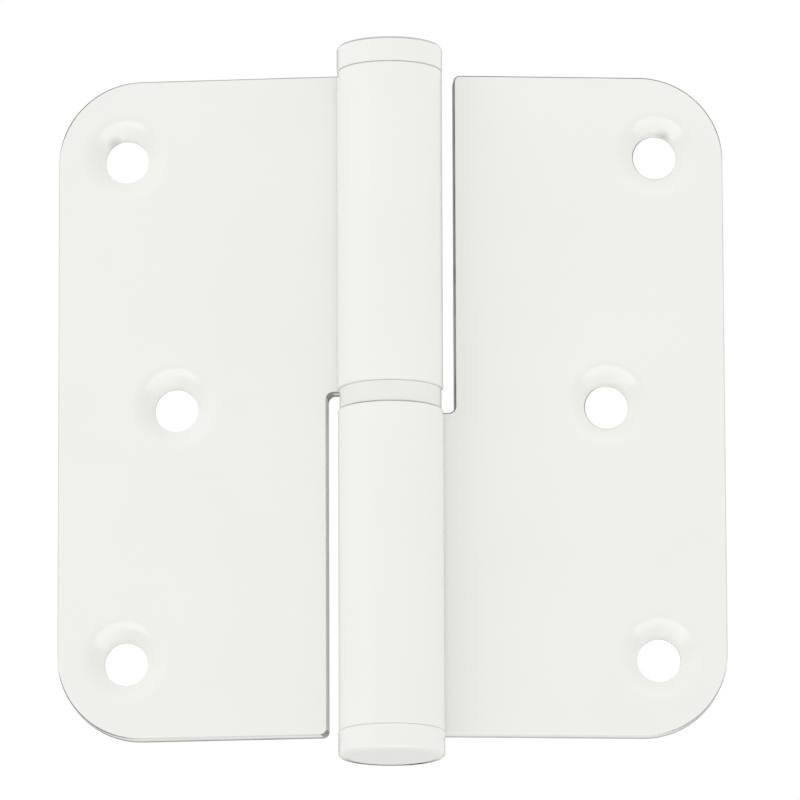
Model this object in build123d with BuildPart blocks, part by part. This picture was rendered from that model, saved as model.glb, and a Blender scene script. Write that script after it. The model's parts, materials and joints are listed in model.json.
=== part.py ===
"""Lift-off paumelle hinge: two leaves of rolled sheet that swing on a fixed pin.

The pin's axis is +Z, with the origin at mid height. The frame leaf runs out along +X, and its
mounting face looks along +Y, so the countersunk fronts of the leaves look along -Y.
"""

from build123d import *

import os
from math import asin, atan2, cos, degrees, isclose, radians, sin, sqrt, tan

# Leaves: sizes in millimetres, angles in degrees
leaf_height = 80.0
leaf_reach = 40.0  # pin axis to the leaf's outer edge
sheet = 2.5  # thickness of the steel
corner_radius = 10.0  # the two outer corners
inner_corner_radius = 0.8  # the corner beside the other knuckle, and the relief at the notch's end
edge_break = 0.15  # bevel on the sheared edges
leaf_setback = 1.0  # the leaves' fronts lie this far behind the pin's axis
rest_fold = 10.0  # how far past flat the door leaf is folded back at rest

# Rolled knuckle
knuckle_bore = 7.5
crank_inside_radius = 2.25  # the bend that leads from the leaf into the roll
seam_gap = 0.3  # the roll's free end stops this far short of the leaf's front
knuckle_gap = 1.5  # between a leaf's inner edge and the other leaf's knuckle

# Screw holes: two near the outer edge and one further in
screw_hole = 5.2
screw_land = 0.5  # straight wall left behind the countersink
countersink_angle = 90.0
countersink_rim_round = 2.0  # the coated mouth runs softly into the leaf's front
screw_end_margin = 9.4  # leaf's end to an outer screw
outer_screw_margin = 8.0  # leaf's outer edge to the two outer screws
inner_screw_margin = 14.0  # leaf's outer edge to the middle screw

# Bearing ring between the knuckles
ring_height = 2.5
ring_step = 0.2  # how far the ring lies inside the knuckles' outside
ring_clearance = 0.1  # radial, on the pin
ring_break = 0.1

# End caps
cap_height = 3.0
cap_overhang = 0.05  # how far the caps stand out beyond the knuckles' outside
cap_rim_break = 0.3
cap_seat_break = 0.1
spigot_length = 4.0
spigot_chamfer = 0.5

# Pin, pressed into the lower knuckle and running in the upper one
pin_clearance = 0.05  # radial, in the upper knuckle
pin_step_depth = 0.5  # the pressed seat ends this far below the lower knuckle's top
pin_end_gap = 2.0  # between the pin's tip and the top cap's spigot, so that the ring bears the load
pin_tip_round = 2.0
pin_foot_chamfer = 0.5

# Worked out from the sizes above
bore_radius = knuckle_bore / 2
barrel_radius = bore_radius + sheet
half_height = leaf_height / 2
half_ring = ring_height / 2
inner_edge = barrel_radius + knuckle_gap

# The sheet's middle line: a flat run, then a crank that bends back, then the roll round the pin
mid_depth = leaf_setback + sheet / 2
roll_mid_radius = bore_radius + sheet / 2
crank_mid_radius = crank_inside_radius + sheet / 2
crank_depth = mid_depth + crank_mid_radius
crank_reach = sqrt((roll_mid_radius + crank_mid_radius) ** 2 - crank_depth**2)
roll_start = degrees(atan2(crank_depth, crank_reach))
roll_end = 360 + degrees(asin((leaf_setback - seam_gap) / barrel_radius))
crank_turn = 90 - roll_start

countersink_radius = screw_hole / 2 + (sheet - screw_land) * tan(radians(countersink_angle / 2))
screw_places = [
    (leaf_reach - outer_screw_margin, half_height - screw_end_margin),
    (leaf_reach - inner_screw_margin, 0),
    (leaf_reach - outer_screw_margin, screw_end_margin - half_height),
]

length_tolerance = 0.001  # two edges within this are the same length


def runs_along_sheet(edge):
    """True for an edge that follows the sheet, false for one that only crosses its thickness."""
    return not isclose(edge.length, sheet, abs_tol=length_tolerance)


def rolled_leaf(lay):
    """A leaf and its knuckle, from one sheet.

    lay is a plane square to the pin's axis: its x runs out along the leaf, its y runs back through
    the sheet, and the knuckle is on its lower half.
    """
    front = Plane(origin=lay.origin, x_dir=lay.x_dir, z_dir=-lay.y_dir)
    with BuildPart() as leaf:
        with BuildSketch(lay.offset(-half_height)):
            with BuildLine():
                Line((leaf_reach, mid_depth), (crank_reach, mid_depth))
                CenterArc((crank_reach, crank_depth), crank_mid_radius, -90, -crank_turn)
                CenterArc((0, 0), roll_mid_radius, roll_start, roll_end - roll_start)
            trace(line_width=sheet)
        extrude(amount=leaf_height)

        # The outline seen from the front: a plate with rounded corners, and the knuckle's tongue,
        # which runs on past the roll so that it keeps all of it
        with BuildSketch(front) as outline:
            with BuildLine():
                Polyline(
                    (-leaf_reach, -half_height),
                    (leaf_reach, -half_height),
                    (leaf_reach, half_height),
                    (inner_edge, half_height),
                    (inner_edge, -half_ring),
                    (-leaf_reach, -half_ring),
                    close=True,
                )
            make_face()
            fillet(outline.vertices().group_by(Axis.X)[-1], corner_radius)
            fillet(outline.vertices().group_by(Axis.X)[1], inner_corner_radius)
        extrude(amount=leaf_reach, both=True, mode=Mode.INTERSECT)

        sheared = leaf.faces().filter_by(Axis.Z).edges().filter_by(runs_along_sheet)
        chamfer(sheared, edge_break)

        with Locations(front.offset(-leaf_setback)):
            with Locations(*screw_places):
                CounterSinkHole(
                    screw_hole / 2, countersink_radius, counter_sink_angle=countersink_angle
                )
        rims = leaf.edges(Select.LAST).filter_by(GeomType.CIRCLE).group_by(SortBy.RADIUS)[-1]
        fillet(rims, countersink_rim_round)
    return leaf


def end_cap(seat):
    """A turned plug on a knuckle's end. seat is the plane of that end and looks outwards."""
    outwards = Axis(seat.origin, seat.z_dir)
    with BuildPart() as cap:
        with BuildSketch(seat):
            Circle(barrel_radius + cap_overhang)
        extrude(amount=cap_height)
        with BuildSketch(seat):
            Circle(bore_radius)
        extrude(amount=-spigot_length)
        spigot_end, *_, head_rim = cap.edges().filter_by(GeomType.CIRCLE).sort_by(outwards)
        chamfer(head_rim, cap_rim_break)
        chamfer(spigot_end, spigot_chamfer)
        seat_rim = cap.edges().filter_by(GeomType.CIRCLE).group_by(SortBy.RADIUS)[-1]
        chamfer(seat_rim.sort_by(outwards)[0], cap_seat_break)
    return cap


# The frame leaf carries the lower knuckle
frame_leaf = rolled_leaf(Plane.XY)

# The door leaf is the same stamping turned end for end, so that its knuckle is the upper one
fold = radians(rest_fold)
door_leaf = rolled_leaf(Plane(origin=(0, 0, 0), x_dir=(-cos(fold), sin(fold), 0), z_dir=(0, 0, -1)))

top_cap = end_cap(Plane.XY.offset(half_height))
bottom_cap = end_cap(Plane(origin=(0, 0, -half_height), z_dir=(0, 0, -1)))

# The pin stands on the bottom cap's spigot
pin_foot = spigot_length - half_height
pin_step = -half_ring - pin_step_depth
pin_tip = half_height - spigot_length - pin_end_gap
pin_radius = bore_radius - pin_clearance

with BuildPart() as hinge_pin:
    with BuildSketch(Plane.XZ) as pin_section:
        with BuildLine():
            Polyline(
                (0, pin_foot),
                (bore_radius, pin_foot),
                (bore_radius, pin_step),
                (pin_radius, pin_step),
                (pin_radius, pin_tip),
                (0, pin_tip),
                close=True,
            )
        make_face()
        fillet(pin_section.vertices().group_by(Axis.Y)[-1].sort_by(Axis.X)[-1], pin_tip_round)
        chamfer(pin_section.vertices().group_by(Axis.Y)[0].sort_by(Axis.X)[-1], pin_foot_chamfer)
    revolve(axis=Axis.Z)

with BuildPart() as bearing_ring:
    with BuildSketch(Plane.XY.offset(-half_ring)):
        Circle(barrel_radius - ring_step)
        Circle(pin_radius + ring_clearance, mode=Mode.SUBTRACT)
    extrude(amount=ring_height)
    ring_rims = bearing_ring.edges().filter_by(GeomType.CIRCLE).group_by(SortBy.RADIUS)[-1]
    chamfer(ring_rims, ring_break)

pieces = {
    "frame_leaf": frame_leaf,
    "door_leaf": door_leaf,
    "hinge_pin": hinge_pin,
    "bearing_ring": bearing_ring,
    "top_cap": top_cap,
    "bottom_cap": bottom_cap,
}
os.makedirs("parts", exist_ok=True)
for name, piece in pieces.items():
    piece.part.label = name
    export_step(piece.part, f"parts/{name}.step")
    print(name, "volume", round(piece.part.volume, 1), "mm3")
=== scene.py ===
# %% [markdown]
# # A lift-off door hinge in white powder coat
#
# The hinge is six pieces: two leaves of rolled sheet, a pin, a bearing ring and two end caps.
# The sizes and the joints come from a imported model, which this lesson loads as a fixed frame.
# Each piece is then given the form and the finish that the coating line and the lathe leave on it,
# and its coat also carries painted light and shade.

# %% Load the frame
import json
from math import cos, radians, sin

import bpy
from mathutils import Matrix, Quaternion, Vector

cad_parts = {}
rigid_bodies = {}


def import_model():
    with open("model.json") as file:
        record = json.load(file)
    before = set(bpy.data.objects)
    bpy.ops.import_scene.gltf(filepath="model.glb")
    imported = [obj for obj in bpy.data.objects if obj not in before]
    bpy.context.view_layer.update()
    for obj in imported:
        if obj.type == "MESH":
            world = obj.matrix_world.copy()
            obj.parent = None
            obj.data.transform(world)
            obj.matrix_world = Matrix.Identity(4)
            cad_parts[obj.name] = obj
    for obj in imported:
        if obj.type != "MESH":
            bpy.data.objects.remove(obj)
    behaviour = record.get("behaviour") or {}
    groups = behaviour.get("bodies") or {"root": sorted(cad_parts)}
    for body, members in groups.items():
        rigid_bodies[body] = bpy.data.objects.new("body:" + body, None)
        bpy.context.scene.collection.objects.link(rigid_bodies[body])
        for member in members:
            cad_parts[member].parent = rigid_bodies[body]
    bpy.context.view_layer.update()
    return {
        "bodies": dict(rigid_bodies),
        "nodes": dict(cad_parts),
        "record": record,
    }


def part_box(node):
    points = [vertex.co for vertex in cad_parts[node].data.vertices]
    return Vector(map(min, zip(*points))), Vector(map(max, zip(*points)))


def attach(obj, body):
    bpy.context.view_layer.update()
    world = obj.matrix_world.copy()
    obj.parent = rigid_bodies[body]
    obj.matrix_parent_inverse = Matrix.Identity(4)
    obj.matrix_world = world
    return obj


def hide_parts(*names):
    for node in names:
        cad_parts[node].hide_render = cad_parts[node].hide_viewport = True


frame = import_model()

MM = 0.001
for name in sorted(frame["nodes"]):
    low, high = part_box(name)
    print(name, "size in mm", [round((b - a) / MM, 2) for a, b in zip(low, high)])

# %% [markdown]
# ## Start from an empty stage
#
# A new Blender file holds a cube, a lamp and a camera. They could be reused, but a lesson is easier
# to follow when everything in view was put there on purpose, so whatever isn't the hinge goes.

# %% Clear what isn't the hinge
kept = set(frame["nodes"].values()) | set(frame["bodies"].values())
for thing in list(bpy.data.objects):
    if thing not in kept:
        bpy.data.objects.remove(thing)
bpy.ops.object.select_all(action="DESELECT")

# %% [markdown]
# ## Helpers for materials
#
# Colours are written as the sRGB hex values that a paint card or a screen shows, while shaders work
# in linear light, so one function converts them. The next adds a node, sets it and wires it up in
# one go, which keeps each material short enough to read as a recipe. The last starts a material and
# finds the place on the piece, so that patterns can be sized in millimetres.


# %% Helpers for colours and nodes
def linear(hex_colour):
    """An sRGB hex colour as linear red, green, blue and alpha."""
    channels = [int(hex_colour[i:i + 2], 16) / 255 for i in (1, 3, 5)]
    return [c / 12.92 if c <= 0.04045 else ((c + 0.055) / 1.055) ** 2.4 for c in channels] + [1]


def add_node(tree, kind, inputs=None, **settings):
    """Add a node, with its settings, and give its inputs a value or a link from another node."""
    node = tree.nodes.new(kind)
    for name, value in settings.items():
        setattr(node, name, value)
    for key, value in (inputs or {}).items():
        if isinstance(value, bpy.types.NodeSocket):
            tree.links.new(value, node.inputs[key])
        else:
            node.inputs[key].default_value = value
    return node


def new_material(name):
    """A new material's node tree, its shader and the place on the piece in metres."""
    material = bpy.data.materials.new(name)
    material.use_nodes = True
    tree = material.node_tree
    place = add_node(tree, "ShaderNodeTexCoord").outputs["Object"]
    return material, tree, tree.nodes["Principled BSDF"], place


# %% [markdown]
# ## Powder coat
#
# The hinge is dusted with dry polyester powder and baked. The powder melts into a thick, slightly
# wavy skin that painters call orange peel, and a few grains of dust bake into it as nibs. The waves
# could be sculpted, but at a few micrometres high they belong in a bump. The countersinks are
# coloured a little whiter, as painted light that lifts the shade inside them, and the ring a little
# greyer. The mix node has sockets of the same name for numbers and for colours, so its colour sockets
# go by their numbers.

# %% White powder coat
COAT_WHITE = "#F1F2ED"
COAT_SHADE = "#EDEEE9"
RING_WHITE = "#EDEEE9"
RING_SHADE = "#E6E7E2"
NIB_GREY = "#B9B8B2"
# grey for the painted shade on the edges, and for the smudges on the cones
SHADE_AND_SMUDGE_GREY = "#3C3D3A"
PEEL_WIDTH = 1.4 * MM
PEEL_HEIGHT = 0.004 * MM
CLOUD_WIDTH = 14 * MM
NIB_SPACING = 16 * MM
NIB_RADIUS = 0.16 * MM
NIB_MISSING = 0.8  # the share of the places that stay clean
COAT_ROUGHNESS = (0.2, 0.28)
MARK_RADIUS = 1.15 * MM
MARK_GREY_SHARE = 0.28  # the grey's share in the middle of a mark
MIX_A, MIX_B, MIX_RESULT = 6, 7, 2


def white_powder_coat(name, white, shade, marks=()):
    """Semi-gloss white skin: faint clouds of colour, orange peel, and here and there a dust nib.

    Towards each mark, a point in metres, the colour turns greyer and greyer.
    """
    material, tree, shader, place = new_material(name)
    clouds = add_node(tree, "ShaderNodeTexNoise",
                      {"Vector": place, "Scale": 1 / CLOUD_WIDTH, "Detail": 3.0})
    peel = add_node(tree, "ShaderNodeTexNoise",
                    {"Vector": place, "Scale": 1 / PEEL_WIDTH, "Detail": 2.0})
    cells = add_node(tree, "ShaderNodeTexVoronoi",
                     {"Vector": place, "Scale": 1 / NIB_SPACING})
    near = add_node(tree, "ShaderNodeMath",
                    {0: cells.outputs["Distance"], 1: NIB_RADIUS / NIB_SPACING}, operation="LESS_THAN")
    chance = add_node(tree, "ShaderNodeSeparateColor", {"Color": cells.outputs["Color"]})
    few = add_node(tree, "ShaderNodeMath",
                   {0: chance.outputs["Red"], 1: NIB_MISSING}, operation="GREATER_THAN")
    nib = add_node(tree, "ShaderNodeMath",
                   {0: near.outputs[0], 1: few.outputs[0]}, operation="MULTIPLY")
    tone = add_node(tree, "ShaderNodeMix",
                    {"Factor": clouds.outputs["Fac"], MIX_A: linear(shade), MIX_B: linear(white)},
                    data_type="RGBA")
    colour = add_node(tree, "ShaderNodeMix",
                      {"Factor": nib.outputs[0], MIX_A: tone.outputs[MIX_RESULT],
                       MIX_B: linear(NIB_GREY)}, data_type="RGBA")
    for mark in marks:
        away = add_node(tree, "ShaderNodeVectorMath", {0: place, 1: mark}, operation="DISTANCE")
        thin = add_node(tree, "ShaderNodeMapRange",
                        {"Value": away.outputs["Value"], "From Max": MARK_RADIUS,
                         "To Min": MARK_GREY_SHARE, "To Max": 0.0})
        colour = add_node(tree, "ShaderNodeMix",
                          {"Factor": thin.outputs["Result"], MIX_A: colour.outputs[MIX_RESULT],
                           MIX_B: linear(SHADE_AND_SMUDGE_GREY)}, data_type="RGBA")
    gloss = add_node(tree, "ShaderNodeMapRange",
                     {"Value": clouds.outputs["Fac"], "To Min": COAT_ROUGHNESS[0],
                      "To Max": COAT_ROUGHNESS[1]})
    bump = add_node(tree, "ShaderNodeBump",
                    {"Height": peel.outputs["Fac"], "Strength": 1.0, "Distance": PEEL_HEIGHT})
    tree.links.new(colour.outputs[MIX_RESULT], shader.inputs["Base Color"])
    tree.links.new(gloss.outputs["Result"], shader.inputs["Roughness"])
    tree.links.new(bump.outputs["Normal"], shader.inputs["Normal"])
    return material


coat = white_powder_coat("white_powder_coat", COAT_WHITE, COAT_SHADE)
ring_coat = white_powder_coat("greyer_ring_powder_coat", RING_WHITE, RING_SHADE)
print("made", coat.name, ring_coat.name)

# %% [markdown]
# ## Grey smudges on the upper cones
#
# Each upper countersink has a grey smudge over its hole. A smudge could be painted on by hand, but a
# distance from one point on the cone grades as softly, and the point follows the hole if its place
# changes.

# %% Coat for the countersinks
# the countersinks' coat is whiter than the leaves': painted light that lifts the shade inside them
SINK_WHITE = "#F2F3EE"
SINK_SHADE = "#EEEFEA"
MARK_OUT = 2.8 * MM  # from the hole's axis
MARK_LIFT = 0.45 * MM  # in front of the middle of the hole's straight wall
CONE_SMUDGES = {"frame_screw_top": radians(20), "door_screw_top": radians(-33)}
mounts = {mount["name"]: mount for mount in frame["record"]["mounts"]}


def cone_point(hole, turn):
    """A point on a hole's cone, turned clockwise from straight up as seen from the front."""
    out = Vector(mounts[hole]["axis"])
    up = Vector((0, 0, 1))
    outwards = sin(turn) * up.cross(out) + cos(turn) * up
    return Vector(mounts[hole]["pos_m"]) + MARK_OUT * outwards + MARK_LIFT * out


cone_smudges = [cone_point(hole, turn) for hole, turn in CONE_SMUDGES.items()]
whitened_sink_coat = white_powder_coat("countersink_coat_whitened_as_painted_light", SINK_WHITE, SINK_SHADE, cone_smudges)
print("made", whitened_sink_coat.name, "with marks at", [[round(v / MM, 1) for v in mark] for mark in cone_smudges])

# %% [markdown]
# ## Painted shade along the edges
#
# Along the upper arrises, round the corners, towards the back of the walls that look down, and in
# the slot beside the other knuckle, the coat is greyed as painted shade: the fine dark line that
# shade and the outline lay along the edges. The lines could be drawn by hand, but grey on the edges'
# own narrow faces follows every corner by itself. They are made in steps from white to the darkest grey.

# %% Painted edge shade, from white to dark grey
EDGE_PATCH = 6 * MM
PATCH_NOISE = (0.3, 0.7)  # most of the noise lies between these
PATCH_LEAST = 0.75  # the lightest patch of shade, as a share of the darkest
SHADE_STEPS = 8
SHADE_GLOSS = (0.5, 0.0)  # where it is white, and where the painted shade is darkest
SHADE_ROUGHNESS = 0.3
WALL_SHADE_STARTS = 1.5 * MM  # the painted shade starts this far in front of the leaf's back
WALL_SHADE_FULL = 0.6 * MM
WALL_TURNS = (-0.1, -0.7)  # a wall's upward share where its painted shade starts, and where it is darkest
WALL_SHADE_DEPTH = {"frame": 0.62, "door": 0.95}


def edge_shade_coat(name, shade_depth, side=None):
    """Powder coat greyed in patches as painted shade, and matt there.

    With a side, frame or door, it does so only where it looks down, towards that leaf's back.
    """
    material, tree, shader, place = new_material(name)
    patches = add_node(tree, "ShaderNodeTexNoise",
                       {"Vector": place, "Scale": 1 / EDGE_PATCH, "Detail": 2.0})
    shade_amount = add_node(tree, "ShaderNodeMapRange",
                    {"Value": patches.outputs["Fac"],
                     "From Min": PATCH_NOISE[0], "From Max": PATCH_NOISE[1],
                     "To Min": PATCH_LEAST * shade_depth, "To Max": shade_depth}).outputs["Result"]
    if side:
        back = mounts[side + "_leaf_back"]
        deepest = Vector(back["axis"]).dot(Vector(back["pos_m"]))
        depth = add_node(tree, "ShaderNodeVectorMath",
                         {0: place, 1: back["axis"]}, operation="DOT_PRODUCT")
        behind = add_node(tree, "ShaderNodeMapRange",
                          {"Value": depth.outputs["Value"], "From Min": deepest - WALL_SHADE_STARTS,
                           "From Max": deepest - WALL_SHADE_FULL})
        facing = add_node(tree, "ShaderNodeSeparateXYZ",
                          {"Vector": add_node(tree, "ShaderNodeTexCoord").outputs["Normal"]})
        below = add_node(tree, "ShaderNodeMapRange",
                         {"Value": facing.outputs["Z"],
                          "From Min": WALL_TURNS[0], "From Max": WALL_TURNS[1]})
        for share in (behind, below):
            shade_amount = add_node(tree, "ShaderNodeMath", {0: shade_amount, 1: share.outputs["Result"]},
                            operation="MULTIPLY").outputs[0]
    tone = add_node(tree, "ShaderNodeMix",
                    {"Factor": shade_amount, MIX_A: linear(COAT_WHITE), MIX_B: linear(SHADE_AND_SMUDGE_GREY)},
                    data_type="RGBA")
    matt = add_node(tree, "ShaderNodeMapRange",
                    {"Value": shade_amount, "To Min": SHADE_GLOSS[0], "To Max": SHADE_GLOSS[1]})
    tree.links.new(tone.outputs[MIX_RESULT], shader.inputs["Base Color"])
    tree.links.new(matt.outputs["Result"], shader.inputs["Specular IOR Level"])
    shader.inputs["Roughness"].default_value = SHADE_ROUGHNESS
    return material


edge_shade_coats = [edge_shade_coat(f"thin_powder_coat_{i}", i / SHADE_STEPS) for i in range(1, SHADE_STEPS + 1)]
walls = {
    side: edge_shade_coat(f"thin_powder_coat_on_{side}_leaf_wall", shade_depth, side)
    for side, shade_depth in WALL_SHADE_DEPTH.items()
}
print("made", len(edge_shade_coats) + len(walls), "thin coats")

# %% [markdown]
# ## Bare steel
#
# The pin is turned bar with a film of grease, and the bores that run on it stay bare, because they
# are plugged while the leaves are coated. A lathe tool leaves fine rings round the pin, far closer
# than a picture can show, so they are drawn coarser here, as bands along the pin's height.

# %% Turned steel
STEEL_BRIGHT = "#C4C5C4"
STEEL_DULL = "#A6A7A5"
TOOL_FEED = 0.35 * MM
TOOL_MARK_DEPTH = 0.003 * MM
TOOL_MARK_STRENGTH = 0.6
TOOL_WOBBLE = 0.4
GREASE_PATCH = 6 * MM
WAVE_PERIOD = 0.314  # a wave texture of scale 1 repeats after this length
STEEL_ROUGHNESS = (0.42, 0.22)


def turned_steel():
    """Bright lathe-turned steel with close rings and patches of grease that dull it."""
    material, tree, shader, place = new_material("turned_steel")
    rings = add_node(tree, "ShaderNodeTexWave",
                     {"Vector": place, "Scale": WAVE_PERIOD / TOOL_FEED,
                      "Distortion": TOOL_WOBBLE, "Detail": 1.0}, bands_direction="Z")
    grease = add_node(tree, "ShaderNodeTexNoise",
                      {"Vector": place, "Scale": 1 / GREASE_PATCH, "Detail": 4.0})
    tone = add_node(tree, "ShaderNodeMix",
                    {"Factor": grease.outputs["Fac"], MIX_A: linear(STEEL_DULL),
                     MIX_B: linear(STEEL_BRIGHT)}, data_type="RGBA")
    gloss = add_node(tree, "ShaderNodeMapRange",
                     {"Value": grease.outputs["Fac"], "To Min": STEEL_ROUGHNESS[0],
                      "To Max": STEEL_ROUGHNESS[1]})
    bump = add_node(tree, "ShaderNodeBump",
                    {"Height": rings.outputs["Fac"], "Strength": TOOL_MARK_STRENGTH,
                     "Distance": TOOL_MARK_DEPTH})
    tree.links.new(tone.outputs[MIX_RESULT], shader.inputs["Base Color"])
    tree.links.new(gloss.outputs["Result"], shader.inputs["Roughness"])
    tree.links.new(bump.outputs["Normal"], shader.inputs["Normal"])
    shader.inputs["Metallic"].default_value = 1.0
    return material


steel = turned_steel()
print("made", steel.name)

# %% [markdown]
# ## Helpers for shaping
#
# No edge of a coated piece is truly sharp, and a thin round is what catches the light along it. So
# every coated piece is opened in edit mode, its sharp edges are bevelled, and it is shaded smooth.
# With smooth shading alone the flat faces look bulged, so the normals are weighted by face area.

# %% Edit, round and smooth
MERGE = 0.001 * MM
SHARP = radians(30)
ROUND_STEPS = 2


def start_edit(piece):
    """Make one piece the only selected one and open it in edit mode."""
    bpy.ops.object.select_all(action="DESELECT")
    piece.select_set(True)
    bpy.context.view_layer.objects.active = piece
    bpy.ops.object.mode_set(mode="EDIT")


def round_shoulders(width):
    """Bevel every sharp edge of the piece that is being edited."""
    bpy.ops.mesh.select_mode(type="EDGE")
    bpy.ops.mesh.select_all(action="DESELECT")
    bpy.ops.mesh.edges_select_sharp(sharpness=SHARP)
    bpy.ops.mesh.bevel(offset=width, segments=ROUND_STEPS, affect="EDGES")


def smooth(piece):
    """Leave edit mode and shade a piece smooth across its rounds, with its flat faces kept flat."""
    bpy.ops.object.mode_set(mode="OBJECT")
    bpy.ops.object.shade_smooth_by_angle(angle=SHARP)
    modifier = piece.modifiers.new("flat faces stay flat", "WEIGHTED_NORMAL")
    modifier.keep_sharp = True
    bpy.ops.object.modifier_apply(modifier=modifier.name)


# %% [markdown]
# ## Two rims lined with painted shade
#
# A countersink ends in an arris round the hole. On the frame leaf's upper two holes it carries a
# line of painted shade on one side. Those two arrises are broken wider than the rest, so that the
# dark line has a face of its own. They are found by their place: a circle of the hole's size, where
# the straight wall behind the cone begins.

# %% Break the rims that take painted shade
SHADE_LINED_RIMS = ("frame_screw_top", "frame_screw_middle")
RIM_BREAK = 0.15 * MM
RIM_NEAR = 0.02 * MM


def on_shade_lined_rim(point):
    """True for a point on an arris that takes a line of painted shade."""
    for hole in (mounts[name] for name in SHADE_LINED_RIMS):
        out = Vector(hole["axis"])
        from_middle = point - Vector(hole["pos_m"])
        height = from_middle.dot(out)
        radius = (from_middle - height * out).length
        wall_end = hole["dims"]["length_mm"] / 2 * MM
        if abs(height - wall_end) < RIM_NEAR and abs(radius - hole["dims"]["r_mm"] * MM) < RIM_NEAR:
            return True
    return False


def break_shade_lined_rims(leaf):
    """Bevel the arrises that take painted shade on the leaf that is being edited, if it has any."""
    bpy.ops.mesh.select_mode(type="EDGE")
    bpy.ops.mesh.select_all(action="DESELECT")
    bpy.ops.object.mode_set(mode="OBJECT")
    for edge in leaf.data.edges:
        edge.select = all(on_shade_lined_rim(leaf.data.vertices[i].co) for i in edge.vertices)
    lined = sum(edge.select for edge in leaf.data.edges)
    bpy.ops.object.mode_set(mode="EDIT")
    if lined:
        bpy.ops.mesh.bevel(offset=RIM_BREAK, segments=1, affect="EDGES")
    print(leaf.name, "has", lined, "worn edges")


# %% [markdown]
# ## The leaves
#
# A leaf is one stamping: a plate with round outer corners and three countersunk holes, cranked back
# and rolled into a knuckle. That form is already exact in the frame, so it isn't modelled again. What
# the frame lacks is the softness of a coated edge: its edges are flat bevels with hard shoulders. A
# copy is merged, its flat triangles are joined, and its shoulders are bevelled into rounds.

# %% Copy the leaves and soften them
SHOULDER_ROUND = 0.05 * MM
FLAT = radians(0.5)


def softened_leaf(node, name):
    """A copy of a leaf with every hard shoulder rounded."""
    leaf = bpy.data.objects.new(name, frame["nodes"][node].data.copy())
    bpy.context.scene.collection.objects.link(leaf)
    start_edit(leaf)
    bpy.ops.mesh.customdata_custom_splitnormals_clear()
    bpy.ops.mesh.select_all(action="SELECT")
    bpy.ops.mesh.remove_doubles(threshold=MERGE)
    bpy.ops.mesh.dissolve_limited(angle_limit=FLAT)
    break_shade_lined_rims(leaf)
    round_shoulders(SHOULDER_ROUND)
    smooth(leaf)
    print(name, len(leaf.data.polygons), "faces")
    return leaf


right_leaf = softened_leaf("frame_leaf", "coated_frame_leaf")
left_leaf = softened_leaf("door_leaf", "coated_door_leaf")

# %% [markdown]
# ## How dark an edge's painted shade is
#
# A face on an edge gets the darkest painted shade where it looks up, where it goes round a corner,
# and in the slot beside the other knuckle, which is the upper half of the frame leaf and the lower
# half of the door leaf. The first two grade smoothly with the way a face looks, and the strongest of
# the three counts. The table gives how dark each leaf's painted shade gets in each place.

# %% Rules for the edges
LOOKS_UP = (-0.15, 0.3)  # a face's upward share, from no painted shade to the darkest
LOOKS_DOWN = -0.2
ROUND_CORNER = (0.04, 0.2)  # the same for its sideways share times its upward one
KNUCKLE_REACH = 6.3 * MM  # from the pin's axis: the knuckle lies inside this
SLOT_REACH = 8.75 * MM  # and the slot's wall inside this
SLOT_END = 2.5 * MM  # the slot ends within this past the hinge's middle
EDGES = {
    "frame": {"up": 0.9, "corner": 0.9, "low_corner": 0.6, "slot": 0.9, "slot_wall": 0.5,
              "slot_end": 0.9, "knuckle": 0.75, "slot_half": 1},
    "door": {"up": 0.62, "corner": 1.0, "low_corner": 0.8, "slot": 0.35, "slot_wall": 0.25,
             "slot_end": 0.8, "knuckle": 0.3, "slot_half": -1},
}


def grade(value, low, high):
    """0 where a value is at low, 1 where it is at high, and even in between."""
    return min(max((value - low) / (high - low), 0), 1)


def slot_shade_depth(face, side, part):
    """How dark the painted shade on a face in the slot is, or 0 outside it. The part is slot for an
    arris, or slot_wall.
    """
    edge = EDGES[side]
    beside = KNUCKLE_REACH < face.center.xy.length < SLOT_REACH
    if not beside or face.center.z * edge["slot_half"] < -SLOT_END:
        return 0
    return edge["slot_end" if face.normal.z < LOOKS_DOWN else part]


def arris_shade_depth(face, side):
    """How dark the painted shade on a face on an arris is, from 0 to 1."""
    edge = EDGES[side]
    up = edge["up"] * grade(face.normal.z, *LOOKS_UP)
    corner = edge["low_corner" if face.normal.z < 0 else "corner"]
    corner *= grade(abs(face.normal.x * face.normal.z), *ROUND_CORNER)
    return max(up, corner, slot_shade_depth(face, side, "slot"))


# %% [markdown]
# ## Which face takes which finish
#
# The arrises are narrow faces that slope between a leaf's front or back and its wall, and the wall is
# square to both. They are found by their slope, away from the knuckle and the screw holes, whose
# cones slope too. A shade-lined rim's slope is halfway between its cone's and its wall's. The bore is
# found by its distance from the pin's axis.

# %% Give the leaf's faces their finishes
COAT_FACE = 0
SINK_FACE, WALL_FACE, BORE_FACE = range(SHADE_STEPS + 1, SHADE_STEPS + 4)
BORE_RADIUS = 3.75 * MM
BORE_NEAR = 0.1 * MM
SCREW_CLEAR = 7.0 * MM
SINK_SLOPE = 0.8  # the flatter faces of a countersink's mouth take the leaf's own coat
ARRIS_SLOPE = (0.25, 0.97)  # between the wall's slope and the front's
RIM_SLOPE = (-0.45, -0.3)
RIM_LOOKS = Vector((1.0, 0, 0.1))  # the way a rim's side with painted shade looks
RIM_TURNS = (0.25, 0.9)  # how nearly a face looks that way, from no painted shade to the darkest


def sink_finish(face, back):
    """The number of the finish on a face of a countersink. A shade-lined rim is darkened on its left, as
    painted shade on the side that looks right.
    """
    slope = face.normal.dot(back)
    if RIM_SLOPE[0] < slope < RIM_SLOPE[1]:
        return round(grade(face.normal.dot(RIM_LOOKS), *RIM_TURNS) * SHADE_STEPS) or SINK_FACE
    return SINK_FACE if abs(slope) < SINK_SLOPE else COAT_FACE


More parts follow.
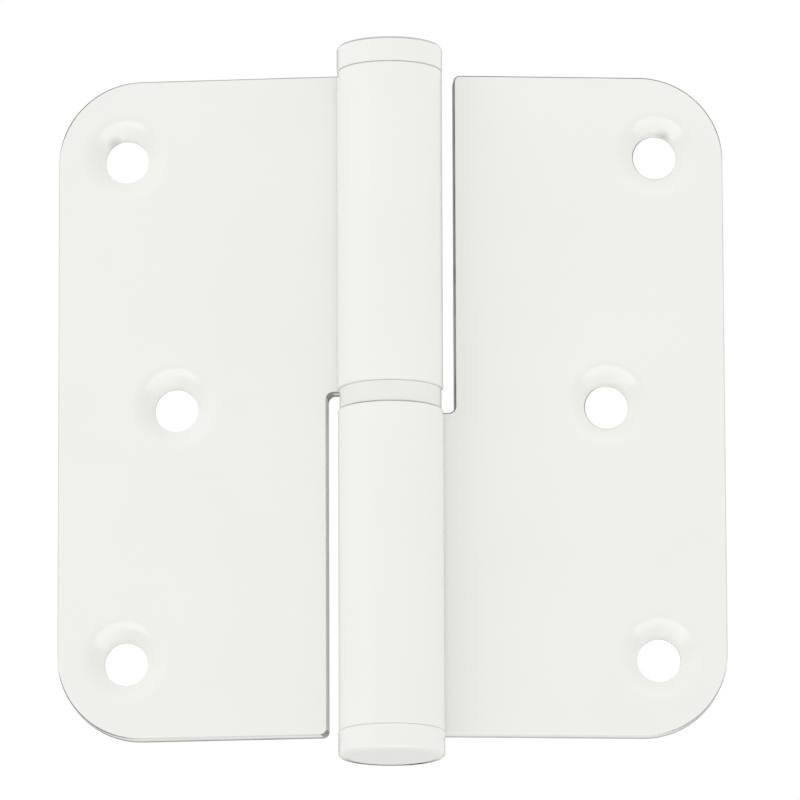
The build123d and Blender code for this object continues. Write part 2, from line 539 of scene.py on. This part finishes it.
def leaf_finish(face, side, back, screws):
    """The number of the finish that a leaf's face takes."""
    from_axis = face.center.xy.length
    on_plate = from_axis > KNUCKLE_REACH
    slope = abs(face.normal.dot(back))
    steep = abs(face.normal.z)
    if any((face.center - screw).length < SCREW_CLEAR for screw in screws):
        return sink_finish(face, back)
    if steep > ARRIS_SLOPE[1] or (on_plate and slope < ARRIS_SLOPE[0]):
        return round(slot_shade_depth(face, side, "slot_wall") * SHADE_STEPS) or WALL_FACE
    if on_plate:
        return round(arris_shade_depth(face, side) * SHADE_STEPS) if slope < ARRIS_SLOPE[1] else COAT_FACE
    if steep > ARRIS_SLOPE[0]:
        return round(EDGES[side]["knuckle"] * grade(face.normal.z, *LOOKS_UP) * SHADE_STEPS)
    return BORE_FACE if from_axis < BORE_RADIUS + BORE_NEAR else COAT_FACE


def finish_leaf(leaf, side):
    """Coat a leaf, with painted shade on its edges, a whiter countersink coat as painted light, and an
    uncoated bore. side is frame or door.
    """
    leaf.data.materials.clear()
    for material in (coat, *edge_shade_coats, whitened_sink_coat, walls[side], steel):
        leaf.data.materials.append(material)
    back = Vector(mounts[side + "_leaf_back"]["axis"])
    screws = [Vector(mounts[f"{side}_screw_{place}"]["pos_m"]) for place in ("top", "middle", "bottom")]
    for face in leaf.data.polygons:
        face.material_index = leaf_finish(face, side, back, screws)
    numbers = [face.material_index for face in leaf.data.polygons]
    print(leaf.name, "faces of each finish", [numbers.count(i) for i in range(BORE_FACE + 1)])


finish_leaf(right_leaf, "frame")
finish_leaf(left_leaf, "door")

# %% [markdown]
# ## Turned pieces
#
# The caps, the ring and the pin all come off a lathe, so they share one way of making. A circle the
# size of the first step is added, then its rim is drawn out and scaled from step to step, as the
# tool follows the bar. A spun profile would do as well, but drawing the rim out leaves no seam.

# %% Draw out a turned piece
TURNS = 128


def turned(name, steps, tube=False):
    """A lathe piece on the pin's axis from (radius, height) steps. A tube closes on its first step."""
    radius, height = steps[0]
    bpy.ops.object.select_all(action="DESELECT")
    bpy.ops.mesh.primitive_circle_add(vertices=TURNS, radius=radius, location=(0, 0, 0),
                                      fill_type="NOTHING" if tube else "NGON")
    piece = bpy.context.active_object
    piece.name = name
    start_edit(piece)
    bpy.ops.mesh.select_all(action="SELECT")
    bpy.ops.transform.translate(value=(0, 0, height))
    for next_radius, next_height in steps[1:] + (steps[:1] if tube else []):
        if tube:
            bpy.ops.mesh.extrude_edges_move()
        else:
            bpy.ops.mesh.extrude_region_move()
        factor = next_radius / radius
        bpy.ops.transform.resize(value=(factor, factor, 1), center_override=(0, 0, height))
        bpy.ops.transform.translate(value=(0, 0, next_height - height))
        radius, height = next_radius, next_height
    bpy.ops.mesh.select_all(action="SELECT")
    bpy.ops.mesh.remove_doubles(threshold=MERGE)
    bpy.ops.mesh.normals_make_consistent(inside=False)
    return piece


# %% [markdown]
# ## End caps
#
# A cap is a plug: a short spigot that is pressed into the knuckle's end, under a head a hair wider
# than the knuckle. Its outer rim is broken so that it doesn't catch a sleeve. Painted shade greys the
# upper cap's rim and the back of the lower cap's end, as on the leaves' edges.

# %% Make the caps
SPIGOT_CHAMFER = 0.5 * MM
HEAD_BREAK = 0.3 * MM
SEAT_BREAK = 0.1 * MM
END_RIM = 1.1 * MM  # painted shade may reach this far in from the head's side
CAP_ROUND = 0.07 * MM
CAP_RIM_SHADE_DEPTH = 0.5
CAP_BACK = (0.0, 4 * MM)  # behind the pin's axis, from no painted shade to the darkest
END_SLOPE = 0.97  # the faces of a cap's end look more nearly along the axis than this


def end_cap(node, name, seat, out):
    """A cap whose head sits on the height seat and points up, out = 1, or down, out = -1."""
    low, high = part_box(node)
    head = high[0]
    end = high[2] if out > 0 else low[2]
    foot = low[2] if out > 0 else high[2]
    cap = turned(name, [
        (BORE_RADIUS - SPIGOT_CHAMFER, foot),
        (BORE_RADIUS, foot + out * SPIGOT_CHAMFER),
        (BORE_RADIUS, seat),
        (head - SEAT_BREAK, seat),
        (head, seat + out * SEAT_BREAK),
        (head, end - out * HEAD_BREAK),
        (head - HEAD_BREAK, end),
        (head - END_RIM, end),
    ])
    round_shoulders(CAP_ROUND)
    smooth(cap)
    for material in (coat, *edge_shade_coats):
        cap.data.materials.append(material)
    # painted shade: grey on the upper cap's rim where it looks up, and towards the back of the lower
    # cap's end
    for face in cap.data.polygons:
        if face.center.xy.length < head - END_RIM or (end - face.center.z) * out > HEAD_BREAK:
            shade_depth = 0
        elif abs(face.normal.z) < END_SLOPE:
            shade_depth = CAP_RIM_SHADE_DEPTH * grade(face.normal.z, *LOOKS_UP)
        else:
            shade_depth = grade(face.center.y, *CAP_BACK) * (out < 0)
        face.material_index = round(shade_depth * SHADE_STEPS)
    print(name, len(cap.data.polygons), "faces")
    return cap


leaf_bottom, leaf_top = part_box("frame_leaf")[0][2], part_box("frame_leaf")[1][2]
top_plug = end_cap("top_cap", "coated_top_cap", leaf_top, 1)
bottom_plug = end_cap("bottom_cap", "coated_bottom_cap", leaf_bottom, -1)

# %% [markdown]
# ## Bearing ring
#
# The ring lies between the knuckles and takes the door's weight. It is turned a little smaller than
# the knuckles, so that it never rubs on the leaves. It is coated like them, a little greyer.

# %% Make the ring
RING_BREAK = 0.1 * MM
RING_BORE = 3.8 * MM
RING_ROUND = 0.03 * MM


def bearing_ring():
    """A flat ring with broken outer rims."""
    low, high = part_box("bearing_ring")
    rim = high[0]
    ring = turned("coated_bearing_ring", [
        (RING_BORE, low[2]),
        (rim - RING_BREAK, low[2]),
        (rim, low[2] + RING_BREAK),
        (rim, high[2] - RING_BREAK),
        (rim - RING_BREAK, high[2]),
        (RING_BORE, high[2]),
    ], tube=True)
    round_shoulders(RING_ROUND)
    smooth(ring)
    ring.data.materials.append(ring_coat)
    print(ring.name, len(ring.data.polygons), "faces")
    return ring


ring = bearing_ring()

# %% [markdown]
# ## The pin
#
# The pin is pressed into the lower knuckle and stands up into the upper one, so it shows only when
# the door is lifted off. It has a wider seat below, a running shank above and a domed tip that finds
# the bore when the door is hung.

# %% Make the pin
FOOT_CHAMFER = 0.5 * MM
SEAT_TOP = -1.75 * MM
SHANK_RADIUS = 3.7 * MM
TIP_ROUND = 2 * MM
TIP_STEPS = 8


def hinge_pin():
    """A turned pin: chamfered foot, pressed seat, running shank and rounded tip."""
    low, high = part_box("hinge_pin")
    quarter = [radians(90 * i / TIP_STEPS) for i in range(TIP_STEPS + 1)]
    centre_radius, centre_height = SHANK_RADIUS - TIP_ROUND, high[2] - TIP_ROUND
    tip = [(centre_radius + TIP_ROUND * cos(a), centre_height + TIP_ROUND * sin(a)) for a in quarter]
    pin = turned("turned_hinge_pin", [
        (BORE_RADIUS - FOOT_CHAMFER, low[2]),
        (BORE_RADIUS, low[2] + FOOT_CHAMFER),
        (BORE_RADIUS, SEAT_TOP),
        (SHANK_RADIUS, SEAT_TOP),
    ] + tip)
    smooth(pin)
    pin.data.materials.append(steel)
    print(pin.name, len(pin.data.polygons), "faces")
    return pin


pin = hinge_pin()

# %% [markdown]
# ## Hang the pieces on the frame
#
# Each new piece stands in for one node of the frame, which is hidden, and moves with that node's body,
# so that the hinge still swings and lifts off as it should.

# %% Hide the nodes and ride the pieces on their bodies
stands_for = {
    "frame_leaf": (right_leaf, "frame", "white_paint"),
    "door_leaf": (left_leaf, "door", "white_paint"),
    "top_cap": (top_plug, "door", "white_paint"),
    "bottom_cap": (bottom_plug, "frame", "white_paint"),
    "bearing_ring": (ring, "ring", "white_paint"),
    "hinge_pin": (pin, "frame", "bright_steel"),
}
for node, (piece, body, finish) in stands_for.items():
    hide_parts(node)
    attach(piece, body)
    print(piece.name, "rides on", body)

# %% [markdown]
# ## Floor
#
# The photograph looks up at the hinge from a little below, so the floor lies well under it and stays
# out of that view. It carries the hinge's shadow in views from above, and the coat's gloss mirrors it.

# %% Lay the floor
FLOOR_DEPTH = 0.30
FLOOR_WIDTH = 3.6
FLOOR_GREY = "#E6E7E6"
FLOOR_SPECKLE = "#E1E2E1"
SPECKLE_WIDTH = 25 * MM
PAPER_ROUGHNESS = 0.9


def paper_floor():
    """Pale seamless paper, matt, with a barely seen mottle."""
    material, tree, shader, place = new_material("pale_paper")
    mottle = add_node(tree, "ShaderNodeTexNoise", {"Vector": place, "Scale": 1 / SPECKLE_WIDTH})
    tone = add_node(tree, "ShaderNodeMix",
                    {"Factor": mottle.outputs["Fac"], MIX_A: linear(FLOOR_SPECKLE),
                     MIX_B: linear(FLOOR_GREY)}, data_type="RGBA")
    tree.links.new(tone.outputs[MIX_RESULT], shader.inputs["Base Color"])
    shader.inputs["Roughness"].default_value = PAPER_ROUGHNESS
    return material


bpy.ops.object.select_all(action="DESELECT")
bpy.ops.mesh.primitive_plane_add(size=FLOOR_WIDTH, location=(0, 0, -FLOOR_DEPTH))
floor = bpy.context.active_object
floor.name = "floor"
floor.data.materials.append(paper_floor())
print("floor", FLOOR_DEPTH, "m below the hinge's middle")

# %% [markdown]
# ## Light
#
# The photograph was lit from all round, as in a light tent: the knuckles hardly darken towards their
# sides. So the world gives most of the light, also from below, where the tent's table lets it
# through: the floor is hidden from the rays that gather soft light. Camera, glossy and see-through
# rays find a plain white of strength 1.

# %% The tent
TENT_LIGHT = 0.917
TENT_WHITE = "#FFFFFF"

world = bpy.data.worlds.new("light_tent")
bpy.context.scene.world = world
world.use_nodes = True
tree = world.node_tree
tree.nodes.clear()
path = add_node(tree, "ShaderNodeLightPath")
seen = add_node(tree, "ShaderNodeMath",
                {0: path.outputs["Is Camera Ray"], 1: path.outputs["Is Glossy Ray"]},
                operation="MAXIMUM")
shown = add_node(tree, "ShaderNodeMath",
                 {0: seen.outputs[0], 1: path.outputs["Is Transmission Ray"]}, operation="MAXIMUM")
tent = add_node(tree, "ShaderNodeBackground", {"Color": linear(TENT_WHITE), "Strength": TENT_LIGHT})
white = add_node(tree, "ShaderNodeBackground", {"Color": linear(TENT_WHITE), "Strength": 1.0})
both = add_node(tree, "ShaderNodeMixShader",
                {0: shown.outputs[0], 1: tent.outputs[0], 2: white.outputs[0]})
add_node(tree, "ShaderNodeOutputWorld", {"Surface": both.outputs[0]})

floor.visible_diffuse = False
print("tent", TENT_LIGHT)

# %% [markdown]
# ## Lamps
#
# Two faint bright lines run down the knuckles in the photograph. They are the mirror images of two
# tall strips, one on each side of the camera. A cylinder mirrors a lamp halfway between its own
# bearing and the camera's, so the lines' places give the strips' bearings. A soft window stands at the
# upper left, so that the knuckle shades the right leaf beside it, and a weaker lamp on the right keeps
# the knuckle's far side from going dark. Any lamp could do both jobs, but here gloss sees only the
# strips, and the coat's own colour only the other two, so that each can be set by itself.

# %% Stand the lamps
LAMP_DISTANCE = 1.2
STRIP_SIZE = (0.12, 0.6)
SOFT_SIZE = (0.6, 0.6)


def lamp(name, bearing, rise, size, power, for_gloss):
    """A lamp turned towards the hinge. A bearing of 0 is straight in front, and rise is upwards."""
    level = Vector((sin(radians(bearing)), -cos(radians(bearing)), 0)) * cos(radians(rise))
    place = (level + Vector((0, 0, sin(radians(rise))))) * LAMP_DISTANCE
    bpy.ops.object.light_add(type="AREA", location=place)
    light = bpy.context.active_object
    light.name = name
    light.rotation_euler = (-place).to_track_quat("-Z", "Y").to_euler()
    light.data.shape = "RECTANGLE"
    light.data.size, light.data.size_y = size
    light.data.energy = power
    light.visible_glossy = for_gloss
    light.visible_diffuse = not for_gloss
    print(name, "at", [round(v, 2) for v in place])


lamp("left_strip", bearing=-61, rise=12, size=STRIP_SIZE, power=0.1, for_gloss=True)
lamp("right_strip", bearing=46, rise=12, size=STRIP_SIZE, power=0.05, for_gloss=True)
lamp("window", bearing=-55, rise=30, size=SOFT_SIZE, power=1.9, for_gloss=False)
lamp("right_side", bearing=73, rise=20, size=SOFT_SIZE, power=1.25, for_gloss=False)

# %% [markdown]
# ## A lit card on the table
#
# The upper rims of the countersinks shine a little in the photograph. They tip downwards, so what
# they mirror lies low in front of the hinge: a white card on the table that a lamp falls on. It is
# made as a lamp of its own that only gloss can see.

# %% Lay the lit card
LIT_CARD_WIDTH = 0.9
LIT_CARD_DEPTH = 0.5
LIT_CARD_IN_FRONT = 0.3
LIT_CARD_ABOVE = 5 * MM
LIT_CARD_POWER = 2.9

card_place = (0, -LIT_CARD_IN_FRONT, LIT_CARD_ABOVE - FLOOR_DEPTH)
bpy.ops.object.light_add(type="AREA", location=card_place, rotation=(radians(180), 0, 0))
lit_card = bpy.context.active_object
lit_card.name = "lit_card"
lit_card.data.shape = "RECTANGLE"
lit_card.data.size = LIT_CARD_WIDTH
lit_card.data.size_y = LIT_CARD_DEPTH
lit_card.data.energy = LIT_CARD_POWER
lit_card.visible_diffuse = False
print("lit card at", card_place)

# %% [markdown]
# ## A dark card behind the hinge
#
# White on white loses its outline. Photographers stand something dark behind the piece: gloss
# paint mirrors it where a surface turns away, and the outline reads. Here the card is seen only in
# reflections, so the background stays white.

# %% Stand the card
CARD_WIDTH = 0.5
CARD_HEIGHT = 0.9
CARD_BEHIND = 0.45
CARD_FOOT = -0.085
CARD_GREY = "#303030"

bpy.ops.object.select_all(action="DESELECT")
card_middle = (0, CARD_BEHIND, CARD_FOOT + CARD_HEIGHT / 2)
bpy.ops.mesh.primitive_plane_add(size=1, location=card_middle, rotation=(radians(90), 0, 0))
card = bpy.context.active_object
card.name = "dark_card"
card.scale = (CARD_WIDTH, CARD_HEIGHT, 1)
card_paper = bpy.data.materials.new("dark_card_paper")
card_paper.use_nodes = True
card_paper.node_tree.nodes["Principled BSDF"].inputs["Base Color"].default_value = linear(CARD_GREY)
card.data.materials.append(card_paper)
card.visible_camera = False
card.visible_diffuse = False
card.visible_shadow = False
card.visible_transmission = False
print("card", CARD_BEHIND, "m behind")

# %% [markdown]
# ## Camera
#
# The view was worked out from the photograph's edges: a long lens more than a metre away, a little
# to the left and below, and the hinge just left of the middle.

# %% Set the camera
CAMERA_DISTANCE = 1.1667
CAMERA_AZIMUTH = radians(-3.84)
CAMERA_ELEVATION = radians(-11.86)
CAMERA_ROLL = radians(-0.217)
CAMERA_SLIDE = 1.12 * MM
IMAGE_SIZE = 800
PIXELS_PER_MM = 8.425
SENSOR = 36

towards = Vector((
    cos(CAMERA_ELEVATION) * sin(CAMERA_AZIMUTH),
    -cos(CAMERA_ELEVATION) * cos(CAMERA_AZIMUTH),
    sin(CAMERA_ELEVATION),
))
rightwards = Vector((cos(CAMERA_AZIMUTH), sin(CAMERA_AZIMUTH), 0))
bpy.ops.object.camera_add(location=towards * CAMERA_DISTANCE + rightwards * CAMERA_SLIDE)
camera = bpy.context.active_object
turn = (-towards).to_track_quat("-Z", "Y") @ Quaternion((0, 0, 1), CAMERA_ROLL)
camera.rotation_euler = turn.to_euler()
camera.data.sensor_width = SENSOR
camera.data.lens = PIXELS_PER_MM / MM * CAMERA_DISTANCE / IMAGE_SIZE * SENSOR
bpy.context.scene.camera = camera
bpy.context.scene.view_settings.view_transform = "Standard"
print("lens", round(camera.data.lens, 1), "mm")
